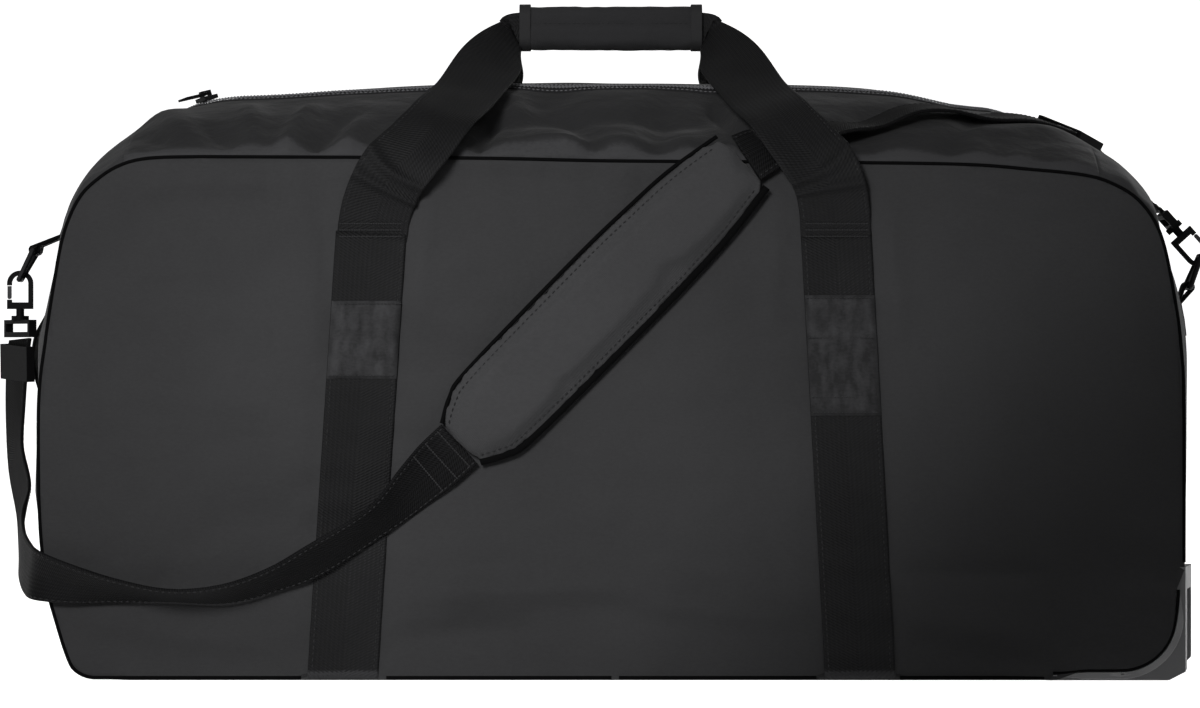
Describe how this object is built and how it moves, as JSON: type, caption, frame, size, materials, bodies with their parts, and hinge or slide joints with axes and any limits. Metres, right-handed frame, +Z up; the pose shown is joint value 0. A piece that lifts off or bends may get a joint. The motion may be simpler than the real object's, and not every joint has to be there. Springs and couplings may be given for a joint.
{
  "type": "rolling duffel bag",
  "caption": "Large soft duffel bag with recessed wheels at one end, a zipped top lid, webbing haul handles with a wrap grip, and a padded shoulder strap.",
  "frame": {"origin": "on the underside of the base, under the middle of the fabric body", "axes": "+X towards the wheeled end, -Y the front face with the shoulder strap across it, +Z up"},
  "size_m": [0.902, 0.4634, 0.489],
  "materials": {
    "body_fabric": "charcoal polyester weave, matt",
    "base_fabric": "coated base fabric, matt",
    "board": "stiff black board",
    "zip_tape": "woven zip tape with coil teeth",
    "piping": "bound edge piping",
    "webbing": "ribbed polyester webbing",
    "facing": "plain fabric facing, lightly puckered",
    "grip": "padded wrap grip",
    "pad": "padded strap cover, plain weave",
    "moulding": "textured moulding",
    "steel": "zinc plated",
    "tyre": "soft polyurethane tread",
    "hub": "moulded hub",
    "ring_metal": "black coated wire",
    "hardware": "black acetal",
    "zip_metal": "black coated",
    "pull": "moulded pull"
  },
  "bodies": {
    "bag": {"front_panel": "body_fabric", "rear_panel": "body_fabric", "left_end_panel": "body_fabric", "right_end_panel": "body_fabric", "base_panel": "base_fabric", "base_board": "board", "top_gusset_front": "body_fabric", "top_gusset_rear": "body_fabric", "zip_tape_bag": "zip_tape", "piping_front": "piping", "piping_rear": "piping", "load_strap_left": "webbing", "load_strap_right": "webbing", "facing_front_left": "facing", "facing_front_right": "facing", "facing_rear_left": "facing", "facing_rear_right": "facing", "grab_handle": "webbing", "grab_handle_patches": "webbing", "wheel_housing_front": "moulding", "wheel_housing_rear": "moulding", "housing_screws": "steel", "axle_front": "steel", "axle_rear": "steel", "ring_tab_left": "webbing", "ring_tab_right": "webbing", "snap_hook_left": "hardware", "snap_hook_right": "hardware", "hook_swivel_left": "hardware", "hook_swivel_right": "hardware", "strap_slider_left": "hardware", "strap_slider_right": "hardware", "shoulder_strap_left": "webbing", "shoulder_strap_right": "webbing", "shoulder_pad": "pad"},
    "lid": {"lid_panel": "body_fabric", "zip_tape_lid": "zip_tape"},
    "front_handle": {"front_handle_webbing": "webbing", "handle_grip": "grip"},
    "rear_handle": {"rear_handle_webbing": "webbing"},
    "wheel_front": {"wheel_front_tyre": "tyre", "wheel_front_hub": "hub"},
    "wheel_rear": {"wheel_rear_tyre": "tyre", "wheel_rear_hub": "hub"},
    "ring_left": {"d_ring_left": "ring_metal"},
    "ring_right": {"d_ring_right": "ring_metal"},
    "gate_left": {"hook_gate_left": "hardware"},
    "gate_right": {"hook_gate_right": "hardware"},
    "slider_side": {"zip_slider_side": "zip_metal"},
    "slider_front": {"zip_slider_front": "zip_metal"},
    "pull_side": {"zip_pull_side": "pull"},
    "pull_front": {"zip_pull_front": "pull"}
  },
  "joints": [
    {"name": "lid_hinge", "type": "hinge", "parent": "bag", "child": "lid", "pos_m": [0, 0.1096, 0.41427], "axis": [-1, 0, 0], "range_deg": [0, 105]},
    {"name": "front_handle_fold", "type": "hinge", "parent": "bag", "child": "front_handle", "pos_m": [0, -0.2048, 0.311], "axis": [1, 0, 0], "range_deg": [0, 106]},
    {"name": "rear_handle_fold", "type": "hinge", "parent": "bag", "child": "rear_handle", "pos_m": [0, 0.2048, 0.311], "axis": [-1, 0, 0], "range_deg": [0, 106]},
    {"name": "wheel_front_spin", "type": "hinge", "parent": "bag", "child": "wheel_front", "pos_m": [0.372, -0.171, 0.038], "axis": [0, 1, 0], "continuous": true},
    {"name": "wheel_rear_spin", "type": "hinge", "parent": "bag", "child": "wheel_rear", "pos_m": [0.372, 0.171, 0.038], "axis": [0, 1, 0], "continuous": true},
    {"name": "ring_left_swing", "type": "hinge", "parent": "bag", "child": "ring_left", "pos_m": [-0.4276, 0, 0.308], "axis": [0, 1, 0], "range_deg": [-2.4, 2.4]},
    {"name": "ring_right_swing", "type": "hinge", "parent": "bag", "child": "ring_right", "pos_m": [0.429, 0, 0.28], "axis": [0, 1, 0], "range_deg": [-2.4, 2.4]},
    {"name": "gate_left_hinge", "type": "hinge", "parent": "bag", "child": "gate_left", "pos_m": [-0.44724, 0, 0.27273], "axis": [0, 1, 0], "range_deg": [0, 25], "stiffness_Nm_per_rad": 0.02, "springref_deg": -17.19},
    {"name": "gate_right_hinge", "type": "hinge", "parent": "bag", "child": "gate_right", "pos_m": [0.4354, 0, 0.31827], "axis": [0, 1, 0], "range_deg": [0, 25], "stiffness_Nm_per_rad": 0.02, "springref_deg": -17.19},
    {"name": "slider_side_travel", "type": "slide", "parent": "lid", "child": "slider_side", "axis": [0, 1, 0], "range_m": [-0.012, 0.012]},
    {"name": "slider_front_travel", "type": "slide", "parent": "lid", "child": "slider_front", "axis": [0.6399, 0.7431, 0.1956], "range_m": [-0.01, 0.01]},
    {"name": "pull_side_flip", "type": "hinge", "parent": "slider_side", "child": "pull_side", "pos_m": [-0.3301, 0.0205, 0.4084], "axis": [-0.8829, 0, -0.4695], "range_deg": [0, 140]},
    {"name": "pull_front_flip", "type": "hinge", "parent": "slider_front", "child": "pull_front", "pos_m": [-0.29761, -0.04763, 0.42137], "axis": [-0.7107, 0.6691, -0.2173], "range_deg": [0, 140]}
  ],
  "couplings": [
    {"joint": "front_handle_fold", "follows": "lid_hinge", "ratio": 1},
    {"joint": "rear_handle_fold", "follows": "lid_hinge", "ratio": 1}
  ]
}
